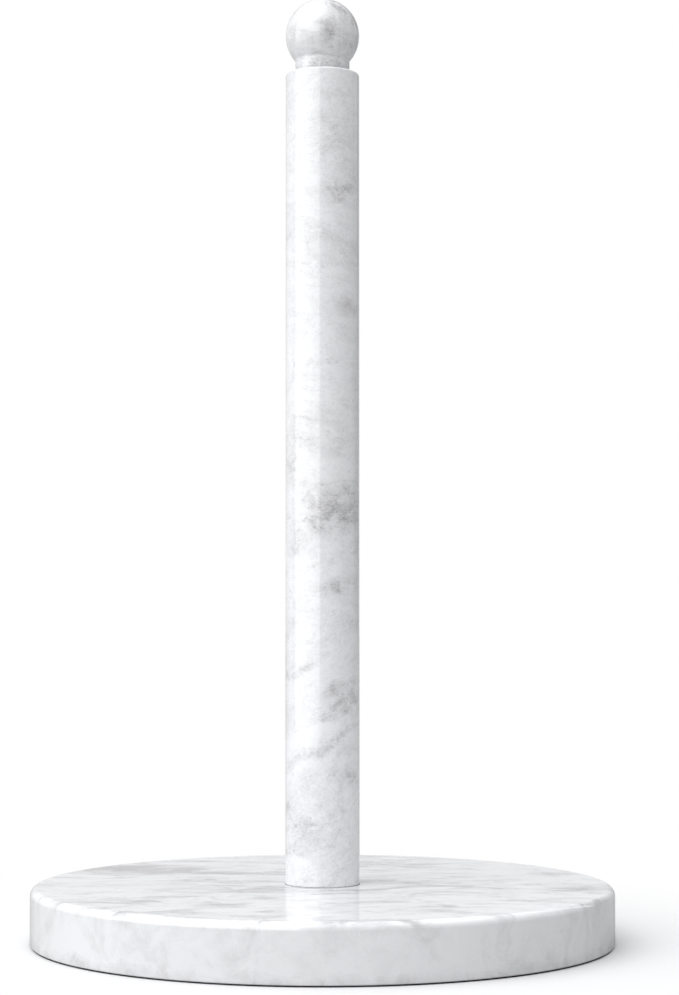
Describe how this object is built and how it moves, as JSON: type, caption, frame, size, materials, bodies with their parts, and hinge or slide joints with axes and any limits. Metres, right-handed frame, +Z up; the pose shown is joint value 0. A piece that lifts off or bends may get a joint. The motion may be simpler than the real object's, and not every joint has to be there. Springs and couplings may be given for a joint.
{
  "type": "paper towel holder",
  "caption": "Free-standing marble paper towel holder: a round slab base, a plain column that the roll slides over, and a ball finial on a short collar that screws onto a rod inside the column.",
  "frame": {"origin": "on the column's axis, on the surface that the holder stands on, which is the underside of the pad", "axes": "+Z up along the column, from the base to the finial; the holder is round, and +X is through the slit of the spring washer"},
  "size_m": [0.19, 0.19, 0.3101],
  "materials": {
    "marble_base": "polished white and grey marble",
    "marble_post": "polished white and grey marble",
    "marble_finial": "polished white and grey marble",
    "brass": "machined",
    "nylon": "natural white nylon",
    "zinc_steel": "bright zinc plated",
    "red_fibre": "vulcanised fibre",
    "pad_rubber": "matte black"
  },
  "bodies": {
    "holder": {"base_disc": "marble_base", "post": "marble_post", "tie_rod": "zinc_steel", "post_gasket": "nylon", "fibre_washer": "red_fibre", "plate_washer": "zinc_steel", "spring_washer": "zinc_steel", "clamp_nut": "zinc_steel", "base_pad": "pad_rubber"},
    "washer": {"finial_washer": "nylon"},
    "finial": {"finial": "marble_finial", "finial_insert": "brass"}
  },
  "joints": [
    {"name": "finial_turn", "type": "hinge", "parent": "holder", "child": "washer", "pos_m": [0, 0, 0.28505], "axis": [0, 0, 1], "range_deg": [0, 4320]},
    {"name": "finial_lift", "type": "slide", "parent": "washer", "child": "finial", "axis": [0, 0, 1], "range_m": [0, 0.012]}
  ],
  "couplings": [
    {"joint": "finial_lift", "follows": "finial_turn", "m_per_rad": 0.00015915}
  ]
}
